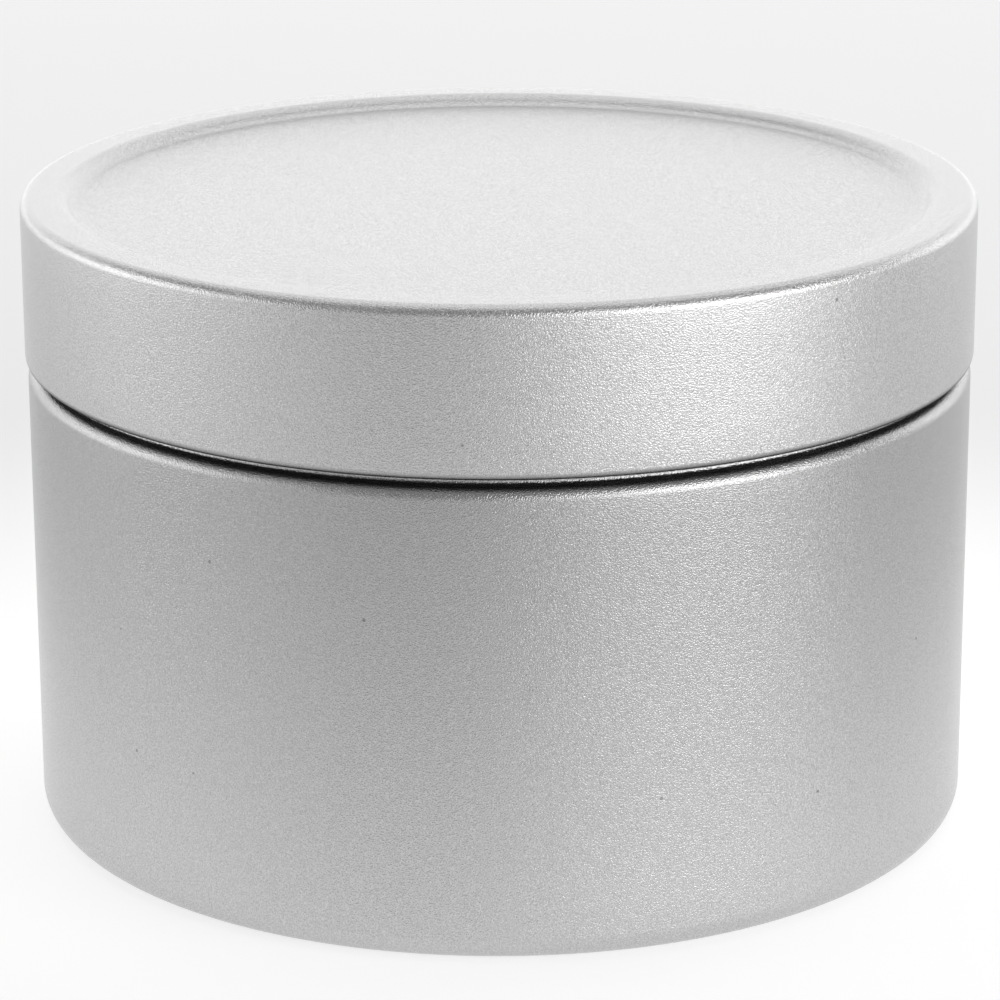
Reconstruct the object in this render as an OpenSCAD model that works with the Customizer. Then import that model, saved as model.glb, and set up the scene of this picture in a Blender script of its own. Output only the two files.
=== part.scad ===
// Round slip-lid candle tin: a drawn, seamless body with a necked mouth, and a
// drawn lid that slips over the neck and rests on the rolled rim.
// Millimetres, +Z up. The origin is the centre of the circle the tin stands on.
// Each piece is one sheet of even thickness, bent along a path and turned about Z.

/* [Tin] */
// Outer diameter of the body's straight wall
body_d = 76.6; // [50:0.2:130]
// Height of the closed tin, from the table to the lid's land
tin_h = 51.5; // [30:0.5:120]
// Thickness of the tinplate sheet
sheet_t = 0.25; // [0.18:0.01:0.32]

/* [Body] */
// Outer radius of the bend between the wall and the foot
foot_r = 2; // [1:0.1:4]
// Width of the flat ring that the tin stands on
foot_ring_w = 2.4; // [1:0.1:5]
// Height that the base's centre is raised above the table
base_rise = 1; // [0.4:0.1:1.8]
// Width of the slope between the foot ring and the raised base
base_slope_w = 2; // [1.8:0.1:5]
// Outer radius of the shoulder, where the wall turns in under the lid
shoulder_r = 1.1; // [0.9:0.05:3]
// Radius of the hollow bend between the shoulder and the neck
neck_root_r = 0.3; // [0.2:0.05:1]
// Outer diameter of the rolled rim
rim_roll_d = 1.3; // [1:0.05:2]

/* [Lid] */
// Height of the lid, from the hem's lowest point to the land
lid_h = 13.2; // [8:0.2:20]
// How far the lid's skirt stands out past the body's wall
lid_proud = 0.2; // [0:0.05:0.5]
// Outer radius of the corner between the skirt and the land
lid_corner_r = 0.9; // [0.6:0.05:1.8]
// Width of the flat land around the sunk panel
land_w = 2; // [0.8:0.1:4]
// Depth of the sunk panel below the land
panel_depth = 0.85; // [0.4:0.05:1.6]
// Width of the slope between the land and the sunk panel
panel_slope_w = 1.9; // [1.6:0.1:4]
// Outer diameter of the turned-in hem at the skirt's lower edge
hem_d = 1.1; // [0.8:0.05:1.2]

/* [Fits] */
// Gap between the hem's inside and the neck, on each side
slip_gap = 0.15; // [0.1:0.05:0.4]
// Gap between the lid's underside and the rim's top
seat_gap = 0.1; // [0.05:0.05:0.3]
// Height of the hem's lowest point above the foot of the neck
hem_lift = 0.3; // [0:0.05:1]

/* [Hidden] */
$fn = 180;

// Largest angle between two points on a bend
bend_step = 7.5;
// Turn of a rolled edge, past three quarters of a circle it would close on the wall
roll_turn = 270;

// Radii of the upright walls, each to the outside of its sheet
body_r = body_d / 2;
lid_r = body_r + lid_proud;
neck_r = lid_r - hem_d - slip_gap;

// Heights
hem_z = tin_h - lid_h;
neck_z = hem_z - hem_lift;
rim_z = tin_h - sheet_t - seat_gap;

// Radius to the middle of a sheet, for a bend known by its convex or its concave side
function from_outside(r) = r - sheet_t / 2;
function from_inside(r) = r + sheet_t / 2;

// Steps of a path along the middle of a sheet: [length, radius, turn], a turn to the left positive
function straight(length) = [length, 0, 0];
function bend(radius, turn) = [0, radius, turn];

// An S-shaped slope of two equal bends, known by its width and its height
function slope_turn(width, height) = 2 * atan(height / width);
function slope_r(width, height) = width / sin(slope_turn(width, height)) / 2;

// The place [r, z, heading] that is reached from place p after a share f of one step
function along(p, step, f) =
    step[2] == 0
    ? [p[0] + f * step[0] * cos(p[2]), p[1] + f * step[0] * sin(p[2]), p[2]]
    : let (
        side = sign(step[2]),
        heading = p[2] + f * step[2],
        reach = side * step[1]
    )
    [
        p[0] + reach * (sin(heading) - sin(p[2])),
        p[1] - reach * (cos(heading) - cos(p[2])),
        heading
    ];

// Every place on a path from place p, without p itself
function places(p, steps, i = 0) =
    i == len(steps)
    ? []
    : let (n = max(1, ceil(abs(steps[i][2]) / bend_step)))
    concat(
        [for (k = [1:n]) along(p, steps[i], k / n)],
        places(along(p, steps[i], 1), steps, i + 1)
    );

// Points on one side of a path, at a distance to its left
function side_points(path, left) =
    [for (p = path) [p[0] - left * sin(p[2]), p[1] + left * cos(p[2])]];

// Points of a list, last first
function backwards(points) = [for (i = [len(points) - 1:-1:0]) points[i]];

// A sheet bent along a path from the axis outwards, and turned about Z
module turned_sheet(start, steps) {
    path = concat([start], places(start, steps));
    outline = concat(
        side_points(path, sheet_t / 2),
        backwards(side_points(path, -sheet_t / 2))
    );
    rotate_extrude()
        polygon(outline);
}

// Drawn cup: raised base, foot ring, wall, shoulder, neck and a rim rolled inwards
module tin_body() {
    foot_bend = from_outside(foot_r);
    slope = slope_turn(base_slope_w, base_rise);
    slope_bend = slope_r(base_slope_w, base_rise);
    base_r = body_r - foot_r - foot_ring_w - base_slope_w;

    shoulder_bend = from_outside(shoulder_r);
    root_bend = from_inside(neck_root_r);
    shoulder_turn = acos(1 - (body_r - neck_r) / (shoulder_bend + root_bend));
    shoulder_h = (shoulder_bend + root_bend) * sin(shoulder_turn);

    roll_bend = from_outside(rim_roll_d / 2);

    color("silver")
        turned_sheet(
            [0, base_rise + sheet_t / 2, 0],
            [
                straight(base_r),
                bend(slope_bend, -slope),
                bend(slope_bend, slope),
                straight(foot_ring_w),
                bend(foot_bend, 90),
                straight(neck_z - shoulder_h - foot_r),
                bend(shoulder_bend, shoulder_turn),
                bend(root_bend, -shoulder_turn),
                straight(rim_z - rim_roll_d / 2 - neck_z),
                bend(roll_bend, roll_turn)
            ]
        );
}

// Drawn lid: sunk panel, land, corner, skirt and a hem turned inwards
module tin_lid() {
    slope = slope_turn(panel_slope_w, panel_depth);
    slope_bend = slope_r(panel_slope_w, panel_depth);
    panel_r = lid_r - lid_corner_r - land_w - panel_slope_w;
    hem_bend = from_outside(hem_d / 2);

    color("lightgray")
        turned_sheet(
            [0, tin_h - panel_depth - sheet_t / 2, 0],
            [
                straight(panel_r),
                bend(slope_bend, slope),
                bend(slope_bend, -slope),
                straight(land_w),
                bend(from_outside(lid_corner_r), -90),
                straight(lid_h - lid_corner_r - hem_d / 2),
                bend(hem_bend, -roll_turn)
            ]
        );
}

tin_body();
tin_lid();
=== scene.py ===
"""Looks of a round slip-lid candle tin: a drawn body and a drawn lid of matte silver tinplate.

Each piece is one bent sheet turned about the tin's axis, as it is on the press. Sizes that the
frame gives are read from it, and the small bends repeat the design's own sizes. Metres, +Z up.
"""

import math

import bpy
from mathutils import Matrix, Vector


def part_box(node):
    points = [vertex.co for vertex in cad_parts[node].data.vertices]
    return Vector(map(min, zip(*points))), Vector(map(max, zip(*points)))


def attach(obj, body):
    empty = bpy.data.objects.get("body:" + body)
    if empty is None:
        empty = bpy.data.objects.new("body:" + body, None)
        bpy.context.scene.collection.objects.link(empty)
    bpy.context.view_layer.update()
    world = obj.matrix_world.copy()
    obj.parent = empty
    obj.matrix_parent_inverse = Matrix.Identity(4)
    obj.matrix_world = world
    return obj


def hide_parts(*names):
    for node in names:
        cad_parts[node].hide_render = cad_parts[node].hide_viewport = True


MM = 0.001

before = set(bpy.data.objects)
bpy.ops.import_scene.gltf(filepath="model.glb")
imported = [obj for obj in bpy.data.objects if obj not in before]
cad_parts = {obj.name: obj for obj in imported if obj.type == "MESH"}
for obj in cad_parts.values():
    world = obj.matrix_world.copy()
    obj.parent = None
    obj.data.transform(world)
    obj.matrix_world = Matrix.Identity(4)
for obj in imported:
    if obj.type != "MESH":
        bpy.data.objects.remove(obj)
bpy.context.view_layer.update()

# Sizes read from the frame
BODY_LOW, BODY_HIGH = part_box("tin_body")
LID_LOW, LID_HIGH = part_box("tin_lid")
BODY_R = BODY_HIGH.x
LID_R = LID_HIGH.x
RIM_Z = BODY_HIGH.z
HEM_Z = LID_LOW.z
TOP_Z = LID_HIGH.z

# The sheet and its bends, as the design has them
SHEET = 0.25 * MM
FOOT_R = 2.0 * MM
FOOT_RING_W = 2.4 * MM
BASE_RISE = 1.0 * MM
BASE_SLOPE_W = 2.0 * MM
SHOULDER_R = 1.1 * MM
NECK_ROOT_R = 0.3 * MM
RIM_ROLL_D = 1.3 * MM
LID_CORNER_R = 0.9 * MM
LAND_W = 2.0 * MM
PANEL_DEPTH = 0.85 * MM
PANEL_SLOPE_W = 1.9 * MM
HEM_D = 1.1 * MM
SLIP_GAP = 0.15 * MM
HEM_LIFT = 0.3 * MM
ROLL_TURN = 270

# How finely the sheets are made: degrees in one facet of a bend, the longest straight facet, and
# the facets round the axis
BEND_STEP = 6
STRAIGHT_STEP = 2.5 * MM
AROUND = 256
# Angle between two facets below which they shade as one smooth surface
SMOOTH_BELOW = math.radians(40)
# Points closer than this are one point
SAME_POINT = 0.001 * MM
# Radius of the small circle that an outline is carried round
CORE_R = 1.0 * MM

# Height and length of the slight unevenness that pressing leaves in thin sheet, and where each
# piece starts in it
RIPPLE_HEIGHT = 0.02 * MM
RIPPLE_LENGTH = 14 * MM
BODY_SEED = 3.0
LID_SEED = 7.0


def add(tree, kind, inputs=None, **settings):
    """Adds a node with its settings, and gives each input a link from a socket or a value."""
    node = tree.nodes.new(kind)
    for name, value in settings.items():
        setattr(node, name, value)
    for key, value in (inputs or {}).items():
        if isinstance(value, bpy.types.NodeSocket):
            tree.links.new(value, node.inputs[key])
        else:
            node.inputs[key].default_value = value
    return node


def colour(code):
    """Linear RGBA of an sRGB hex colour."""
    channels = [int(code[i : i + 2], 16) / 255 for i in (1, 3, 5)]
    return [c / 12.92 if c <= 0.04045 else ((c + 0.055) / 1.055) ** 2.4 for c in channels] + [1.0]


# ---------------------------------------------------------------------------------------------
# Sheets: a path along the middle of the sheet, then an outline at half a thickness on each side
# ---------------------------------------------------------------------------------------------


def straight(length):
    return (length, 0.0, 0.0)


def bend(radius, turn):
    return (0.0, radius, turn)


def slope(width, height, first):
    """Two equal bends that make an S of that width and height.

    first is the sign of the first turn.
    """
    turn = 2 * math.degrees(math.atan(height / width))
    radius = width / math.sin(math.radians(turn)) / 2
    return [bend(radius, first * turn), bend(radius, -first * turn)]


def along(place, step, share):
    """The (r, z, heading) reached from a place after a share of one step."""
    r, z, heading = place
    length, radius, turn = step
    start = math.radians(heading)
    if turn == 0:
        way = share * length
        return (r + way * math.cos(start), z + way * math.sin(start), heading)
    end = math.radians(heading + share * turn)
    reach = math.copysign(radius, turn)
    return (
        r + reach * (math.sin(end) - math.sin(start)),
        z - reach * (math.cos(end) - math.cos(start)),
        heading + share * turn,
    )


def beside(place, distance):
    """The point (r, z) at a distance to the left of a place on a path."""
    r, z, heading = place
    heading = math.radians(heading)
    return (r - distance * math.sin(heading), z + distance * math.cos(heading))


def sheet_sides(start, steps):
    """Points (r, z) on the left and on the right side of a bent sheet, from the axis outwards."""
    path = [start]
    for length, radius, turn in steps:
        count = max(1, math.ceil(abs(turn) / BEND_STEP), math.ceil(length / STRAIGHT_STEP))
        last = path[-1]
        path += [along(last, (length, radius, turn), k / count) for k in range(1, count + 1)]
    return [beside(p, SHEET / 2) for p in path], [beside(p, -SHEET / 2) for p in path]


def body_path():
    """Raised base, foot ring, wall, shoulder, neck and a rim rolled inwards."""
    neck_r = LID_R - HEM_D - SLIP_GAP
    neck_z = HEM_Z - HEM_LIFT
    shoulder_bend = SHOULDER_R - SHEET / 2
    root_bend = NECK_ROOT_R + SHEET / 2
    turn = math.degrees(math.acos(1 - (BODY_R - neck_r) / (shoulder_bend + root_bend)))
    shoulder_h = (shoulder_bend + root_bend) * math.sin(math.radians(turn))
    start = (0.0, BASE_RISE + SHEET / 2, 0.0)
    steps = [
        straight(BODY_R - FOOT_R - FOOT_RING_W - BASE_SLOPE_W),
        *slope(BASE_SLOPE_W, BASE_RISE, -1),
        straight(FOOT_RING_W),
        bend(FOOT_R - SHEET / 2, 90),
        straight(neck_z - shoulder_h - FOOT_R),
        bend(shoulder_bend, turn),
        bend(root_bend, -turn),
        straight(RIM_Z - RIM_ROLL_D / 2 - neck_z),
        bend((RIM_ROLL_D - SHEET) / 2, ROLL_TURN),
    ]
    return start, steps


def lid_path():
    """Sunk panel, land, corner, skirt and a hem turned inwards."""
    start = (0.0, TOP_Z - PANEL_DEPTH - SHEET / 2, 0.0)
    steps = [
        straight(LID_R - LID_CORNER_R - LAND_W - PANEL_SLOPE_W),
        *slope(PANEL_SLOPE_W, PANEL_DEPTH, 1),
        straight(LAND_W),
        bend(LID_CORNER_R - SHEET / 2, -90),
        straight(TOP_Z - HEM_Z - LID_CORNER_R - HEM_D / 2),
        bend((HEM_D - SHEET) / 2, -ROLL_TURN),
    ]
    return start, steps


def turning_tree():
    """Geometry nodes that turn a sheet's outline about Z, ripple it and give it finishes."""
    tree = bpy.data.node_groups.new("turned_sheet", "GeometryNodeTree")
    socket = tree.interface.new_socket
    socket("Outline", in_out="INPUT", socket_type="NodeSocketGeometry")
    socket("Segments", in_out="INPUT", socket_type="NodeSocketInt")
    socket("Core Radius", in_out="INPUT", socket_type="NodeSocketFloat")
    socket("Ripple Height", in_out="INPUT", socket_type="NodeSocketFloat")
    socket("Ripple Length", in_out="INPUT", socket_type="NodeSocketFloat")
    socket("Ripple Seed", in_out="INPUT", socket_type="NodeSocketFloat")
    socket("Outside Finish", in_out="INPUT", socket_type="NodeSocketMaterial")
    socket("Inside Finish", in_out="INPUT", socket_type="NodeSocketMaterial")
    socket("Sheet", in_out="OUTPUT", socket_type="NodeSocketGeometry")
    given = add(tree, "NodeGroupInput").outputs

    # A closed curve carries a profile's X outwards and its Y downwards
    profile = add(tree, "GeometryNodeMeshToCurve", {"Mesh": given["Outline"]})
    circle = add(
        tree,
        "GeometryNodeCurvePrimitiveCircle",
        {"Resolution": given["Segments"], "Radius": given["Core Radius"]},
    )
    turned = add(
        tree,
        "GeometryNodeCurveToMesh",
        {"Curve": circle.outputs["Curve"], "Profile Curve": profile.outputs["Curve"]},
    )
    closed = add(
        tree,
        "GeometryNodeMergeByDistance",
        {"Geometry": turned.outputs["Mesh"], "Distance": SAME_POINT},
    )

    # Each point moves out from the origin or in towards it by the ripple's height there
    place = add(tree, "GeometryNodeInputPosition")
    per_metre = add(tree, "ShaderNodeMath", {0: 1.0, 1: given["Ripple Length"]}, operation="DIVIDE")
    noise = add(
        tree,
        "ShaderNodeTexNoise",
        {
            "Vector": place.outputs["Position"],
            "W": given["Ripple Seed"],
            "Scale": per_metre.outputs["Value"],
            "Detail": 1.0,
        },
        noise_dimensions="4D",
    )
    centred = add(tree, "ShaderNodeMath", {0: noise.outputs["Fac"], 1: 0.5}, operation="SUBTRACT")
    height = add(
        tree,
        "ShaderNodeMath",
        {0: centred.outputs["Value"], 1: given["Ripple Height"]},
        operation="MULTIPLY",
    )
    outwards = add(
        tree,
        "ShaderNodeVectorMath",
        {0: place.outputs["Position"]},
        operation="NORMALIZE",
    )
    offset = add(
        tree,
        "ShaderNodeVectorMath",
        {0: outwards.outputs["Vector"], "Scale": height.outputs["Value"]},
        operation="SCALE",
    )
    rippled = add(
        tree,
        "GeometryNodeSetPosition",
        {"Geometry": closed.outputs["Geometry"], "Offset": offset.outputs["Vector"]},
    )

    # Bends are smooth, and the sheet's cut edges stay sharp
    angle = add(tree, "GeometryNodeInputMeshEdgeAngle")
    gentle = add(
        tree,
        "FunctionNodeCompare",
        {0: angle.outputs["Unsigned Angle"], 1: SMOOTH_BELOW},
        data_type="FLOAT",
        operation="LESS_THAN",
    )
    smooth = add(
        tree,
        "GeometryNodeSetShadeSmooth",
        {"Geometry": rippled.outputs["Geometry"], "Shade Smooth": gentle.outputs["Result"]},
        domain="EDGE",
    )
    realized = add(tree, "GeometryNodeRealizeInstances", {"Geometry": smooth.outputs["Geometry"]})
    outside = add(
        tree,
        "GeometryNodeSetMaterial",
        {"Geometry": realized.outputs["Geometry"], "Material": given["Outside Finish"]},
    )
    inside = add(tree, "GeometryNodeInputNamedAttribute", {"Name": "inside"}, data_type="FLOAT")
    mostly = add(
        tree,
        "FunctionNodeCompare",
        {0: inside.outputs["Attribute"], 1: 0.5},
        data_type="FLOAT",
        operation="GREATER_THAN",
    )
    finished = add(
        tree,
        "GeometryNodeSetMaterial",
        {
            "Geometry": outside.outputs["Geometry"],
            "Selection": mostly.outputs["Result"],
            "Material": given["Inside Finish"],
        },
    )
    add(tree, "NodeGroupOutput", {0: finished.outputs["Geometry"]})
    return tree


def turned_sheet(name, body, path, inside_is_left, tree, seed, finishes):
    """A piece made by turning a sheet's outline about Z, which rides on a body.

    path is where the sheet starts and its steps, and finishes are the outside's and the inside's.
    """
    left, right = sheet_sides(*path)
    outline = left + right[::-1]
    is_inside = [inside_is_left] * len(left) + [not inside_is_left] * len(right)
    wire = bpy.data.meshes.new(name)
    wire.from_pydata(
        [(r - CORE_R, -z, 0.0) for r, z in outline],
        [(i, i + 1) for i in range(len(outline) - 1)],
        [],
    )
    mark = wire.attributes.new("inside", "FLOAT", "POINT")
    mark.data.foreach_set("value", [float(flag) for flag in is_inside])
    maker = bpy.data.objects.new(name + "_maker", wire)
    bpy.context.scene.collection.objects.link(maker)

    modifier = maker.modifiers.new("turned_sheet", "NODES")
    modifier.node_group = tree
    values = {
        "Segments": AROUND,
        "Core Radius": CORE_R,
        "Ripple Height": RIPPLE_HEIGHT,
        "Ripple Length": RIPPLE_LENGTH,
        "Ripple Seed": seed,
        "Outside Finish": finishes[0],
        "Inside Finish": finishes[1],
    }
    for item in tree.interface.items_tree:
        if item.item_type == "SOCKET" and item.name in values:
            modifier[item.identifier] = values[item.name]

    seen = maker.evaluated_get(bpy.context.evaluated_depsgraph_get())
    mesh = bpy.data.meshes.new_from_object(seen)
    mesh.name = name
    maker.modifiers.clear()
    bpy.data.objects.remove(maker)
    piece = bpy.data.objects.new(name, mesh)
    bpy.context.scene.collection.objects.link(piece)
    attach(piece, body)
    return piece


# ---------------------------------------------------------------------------------------------
# Finishes
# ---------------------------------------------------------------------------------------------

# Roughness that matte tinplate, bright tinplate and matte acrylic have
MATTE_ROUGHNESS = 0.27
BRIGHT_ROUGHNESS = 0.24
ACRYLIC_ROUGHNESS = 0.9
# Share of the usual shine that the matte acrylic keeps
ACRYLIC_SHINE = 0.1

# Floor's own light: everywhere, and more of it round the tin, fading between two distances from
# its axis
FLOOR_GLOW = 0.38
MIDDLE_GLOW = 0.27
GLOW_FROM = 38 * MM
GLOW_TO = 130 * MM

# Grain left by rolls that were blasted with shot: hollows, and a speckle of duller and brighter
# metal between two levels of the noise
GRAIN_SIZE = 0.11 * MM
GRAIN_HEIGHT = 0.045 * MM
GRAIN_SPECKLE = 0.16
GRAIN_LOW = 0.3
GRAIN_HIGH = 0.7
# Rare pits, a fraction of a millimetre wide: their spacing and radius, the part of the radius that
# is darkest, and its shade
PIT_SPACING = 5.0 * MM
PIT_R = 0.16 * MM
PIT_CORE = 0.6
PIT_SHADE = 0.55
# Dark tone in the groove between the lid and the shoulder, above and below the hem's lowest point.
# It stands for light that is lost in there, so it is no mark on the metal. How far it is full, how
# far each piece is touched by it, and its shade
SEAM_FULL = 0.1 * MM
SEAM_ON_LID = 0.6 * MM
SEAM_ON_BODY = 0.28 * MM
SEAM_SHADE = 0.12
# Painted shade on the body's wall at the shoulder, against its foot: the wall is painted darker
# towards the top for its reflection, which dims away from the table
WALL_TOP_PAINTED_SHADE = 0.76
# Marks from drawing on the bright inside: width, depth, and how much they are drawn out upwards
MARK_WIDTH = 0.5 * MM
MARK_DEPTH = 0.004 * MM
MARK_STRETCH = 50


def new_material(name):
    material = bpy.data.materials.new(name)
    material.use_nodes = True
    material.node_tree.nodes.clear()
    return material, material.node_tree


def shade(tree, value, low, high, dark, light):
    """A value's range from low to high mapped to a range of factors from dark to light."""
    ramp = add(
        tree,
        "ShaderNodeMapRange",
        {"Value": value, "From Min": low, "From Max": high, "To Min": dark, "To Max": light},
    )
    return ramp.outputs["Result"]


def times(tree, one, other):
    return add(tree, "ShaderNodeMath", {0: one, 1: other}, operation="MULTIPLY").outputs["Value"]


def matte_silver_tinplate(name, base, seam_width, wall_top_painted_shade=1.0):
    """Tinplate rolled between shot-blasted rolls: a soft grey metal with a fine, even grain.

    The last argument is a painted shade: the colour is scaled by it at the hem's height and by
    nothing at the table, so the wall is painted darker towards the top for its reflection.
    """
    material, tree = new_material(name)
    place = add(tree, "ShaderNodeTexCoord").outputs["Object"]
    grain = add(
        tree,
        "ShaderNodeTexNoise",
        {"Vector": place, "Scale": 1 / GRAIN_SIZE, "Detail": 1.0, "Roughness": 0.5},
    ).outputs["Fac"]
    bump = add(
        tree,
        "ShaderNodeBump",
        {"Strength": 1.0, "Distance": GRAIN_HEIGHT, "Height": grain},
    )
    pits = add(
        tree, "ShaderNodeTexVoronoi", {"Vector": place, "Scale": 1 / PIT_SPACING}, feature="F1"
    ).outputs["Distance"]
    pit_r = PIT_R / PIT_SPACING
    pit = shade(tree, pits, PIT_CORE * pit_r, pit_r, PIT_SHADE, 1.0)
    height = add(tree, "ShaderNodeSeparateXYZ", {"Vector": place}).outputs["Z"]
    # Painted shade: the colour darkens from the table up to the hem's height
    painted_wall_shade = shade(tree, height, 0.0, HEM_Z, 1.0, wall_top_painted_shade)
    speckle = shade(tree, grain, GRAIN_LOW, GRAIN_HIGH, 1 - GRAIN_SPECKLE, 1 + GRAIN_SPECKLE)
    to_seam = add(tree, "ShaderNodeMath", {0: height, 1: HEM_Z}, operation="SUBTRACT")
    away = add(tree, "ShaderNodeMath", {0: to_seam.outputs["Value"]}, operation="ABSOLUTE")
    seam = shade(tree, away.outputs["Value"], SEAM_FULL, seam_width, SEAM_SHADE, 1.0)
    factor = times(tree, times(tree, times(tree, speckle, painted_wall_shade), pit), seam)
    tone = add(
        tree,
        "ShaderNodeVectorMath",
        {0: colour(base)[:3], "Scale": factor},
        operation="SCALE",
    )
    edge = add(tree, "ShaderNodeCombineColor", {"Red": seam, "Green": seam, "Blue": seam})
    shader = add(
        tree,
        "ShaderNodeBsdfPrincipled",
        {
            "Base Color": tone.outputs["Vector"],
            "Metallic": 1.0,
            "Specular Tint": edge.outputs["Color"],
            "Roughness": MATTE_ROUGHNESS,
            "Normal": bump.outputs["Normal"],
        },
    )
    add(tree, "ShaderNodeOutputMaterial", {"Surface": shader.outputs["BSDF"]})
    return material


def bright_tinplate(name):
    """Plain bright tinplate, as on the inside: smoother, with faint upright marks from drawing."""
    material, tree = new_material(name)
    place = add(tree, "ShaderNodeTexCoord").outputs["Object"]
    stretched = add(
        tree,
        "ShaderNodeMapping",
        {"Vector": place, "Scale": (1.0, 1.0, 1 / MARK_STRETCH)},
    )
    marks = add(
        tree,
        "ShaderNodeTexNoise",
        {"Vector": stretched.outputs["Vector"], "Scale": 1 / MARK_WIDTH, "Detail": 2.0},
    )
    bump = add(
        tree,
        "ShaderNodeBump",
        {"Strength": 1.0, "Distance": MARK_DEPTH, "Height": marks.outputs["Fac"]},
    )
    shader = add(
        tree,
        "ShaderNodeBsdfPrincipled",
        {
            "Base Color": colour("#D2D1CE"),
            "Metallic": 1.0,
            "Roughness": BRIGHT_ROUGHNESS,
            "Normal": bump.outputs["Normal"],
        },
    )
    add(tree, "ShaderNodeOutputMaterial", {"Surface": shader.outputs["BSDF"]})
    return material


def lit_acrylic(name):
    """Matte white acrylic, lit from below: pale, nearly without shadow, brightest in the middle."""
    material, tree = new_material(name)
    place = add(tree, "ShaderNodeTexCoord").outputs["Object"]
    distance = add(tree, "ShaderNodeVectorMath", {0: place}, operation="LENGTH").outputs["Value"]
    middle = add(
        tree,
        "ShaderNodeMapRange",
        {
            "Value": distance,
            "From Min": GLOW_FROM,
            "From Max": GLOW_TO,
            "To Min": FLOOR_GLOW + MIDDLE_GLOW,
            "To Max": FLOOR_GLOW,
        },
        interpolation_type="SMOOTHSTEP",
    )
    shader = add(
        tree,
        "ShaderNodeBsdfPrincipled",
        {
            "Base Color": colour("#B4B4B4"),
            "Roughness": ACRYLIC_ROUGHNESS,
            "Specular IOR Level": ACRYLIC_SHINE,
            "Emission Color": colour("#FFFFFF"),
            "Emission Strength": middle.outputs["Result"],
        },
    )
    add(tree, "ShaderNodeOutputMaterial", {"Surface": shader.outputs["BSDF"]})
    return material


# ---------------------------------------------------------------------------------------------
# The pieces
# ---------------------------------------------------------------------------------------------

tree = turning_tree()
inside = bright_tinplate("bright_tinplate")
body_outside = matte_silver_tinplate(
    "matte_silver_tinplate_body", "#C3C3C3", SEAM_ON_BODY, WALL_TOP_PAINTED_SHADE
)
tin_body = turned_sheet(
    "tin_body_sheet", "tin", body_path(), True, tree, BODY_SEED, (body_outside, inside)
)
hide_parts("tin_body")

lid_outside = matte_silver_tinplate("matte_silver_tinplate_lid", "#C4C4C4", SEAM_ON_LID)
tin_lid = turned_sheet(
    "tin_lid_sheet", "lid", lid_path(), False, tree, LID_SEED, (lid_outside, inside)
)
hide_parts("tin_lid")


# ---------------------------------------------------------------------------------------------
# Floor, lights and camera
# ---------------------------------------------------------------------------------------------

# Half the width of the floor
FLOOR_REACH = 3.0
# Side of a square softbox, and its distance from the tin
SOFTBOX = 0.31
SOFTBOX_AWAY = 0.6
# Light from all round
WORLD_LIGHT = 0.35


def acrylic_floor():
    mesh = bpy.data.meshes.new("acrylic_floor")
    signs = [(-1, -1), (1, -1), (1, 1), (-1, 1)]
    corners = [(x * FLOOR_REACH, y * FLOOR_REACH, 0.0) for x, y in signs]
    mesh.from_pydata(corners, [], [(0, 1, 2, 3)])
    mesh.materials.append(lit_acrylic("lit_white_acrylic"))
    floor = bpy.data.objects.new("acrylic_floor", mesh)
    bpy.context.scene.collection.objects.link(floor)


def softbox(name, side, lift, brightness, width=SOFTBOX):
    """A soft panel light, aimed at the tin.

    side is its angle round to the right of the camera, lift its angle above the floor, and
    brightness what a reflection of it shows, whatever its width.
    """
    turn, rise = math.radians(side), math.radians(lift)
    light = bpy.data.lights.new(name, "AREA")
    light.shape = "RECTANGLE"
    light.size, light.size_y = width, SOFTBOX
    light.energy = brightness * math.pi * width * SOFTBOX
    lamp = bpy.data.objects.new(name, light)
    level = math.cos(rise)
    direction = Vector((level * math.sin(turn), -level * math.cos(turn), math.sin(rise)))
    lamp.location = SOFTBOX_AWAY * direction
    aim = Vector((0, 0, TOP_Z / 2)) - lamp.location
    lamp.rotation_euler = aim.to_track_quat("-Z", "Y").to_euler()
    lamp.visible_camera = False
    bpy.context.scene.collection.objects.link(lamp)


acrylic_floor()

# Angle round to the right of the camera, angle above the floor, and brightness
softbox("front_right", 30, 15, 2.5)
softbox("right", 60, 15, 3.7)
softbox("back_right", 122, 15, 1.7)
softbox("back", 180, 15, 0.65, 3 * SOFTBOX)
softbox("back_low", 180, 9, 0.6, 3 * SOFTBOX)
softbox("back_left", 238, 15, 1.3)
softbox("left", 268, 15, 1.9)
softbox("front_left", 298, 15, 0.85)
softbox("right_high", 120, 43, 0.5)
softbox("back_high", 180, 43, 0.75, 3 * SOFTBOX)
softbox("top", 180, 70, 0.7, 2 * SOFTBOX)
softbox("overhead", 0, 85, 0.6, 2 * SOFTBOX)

world = bpy.data.worlds.new("studio")
world.use_nodes = True
background = world.node_tree.nodes["Background"].inputs
background["Color"].default_value = colour("#FFFFFF")
background["Strength"].default_value = WORLD_LIGHT
bpy.context.scene.world = world
bpy.context.scene.view_settings.view_transform = "Standard"

# The camera stands in front, on the axis's own plane, a little above the tin and looking down:
# two distances from the origin, two angles in degrees, and its lens and sensor in millimetres
CAMERA_BACK = 330.65 * MM
CAMERA_UP = 129.1 * MM
CAMERA_DOWN = 17.507
CAMERA_ROLL = -0.205
CAMERA_LENS = 151.06
CAMERA_SENSOR = 36

camera_data = bpy.data.cameras.new("camera")
camera_data.lens = CAMERA_LENS
camera_data.sensor_width = CAMERA_SENSOR
camera = bpy.data.objects.new("camera", camera_data)
camera.location = (0, -CAMERA_BACK, CAMERA_UP)
camera.rotation_mode = "ZYX"
camera.rotation_euler = (math.radians(90 - CAMERA_DOWN), 0, math.radians(CAMERA_ROLL))
bpy.context.scene.collection.objects.link(camera)
bpy.context.scene.camera = camera

bpy.context.view_layer.update()
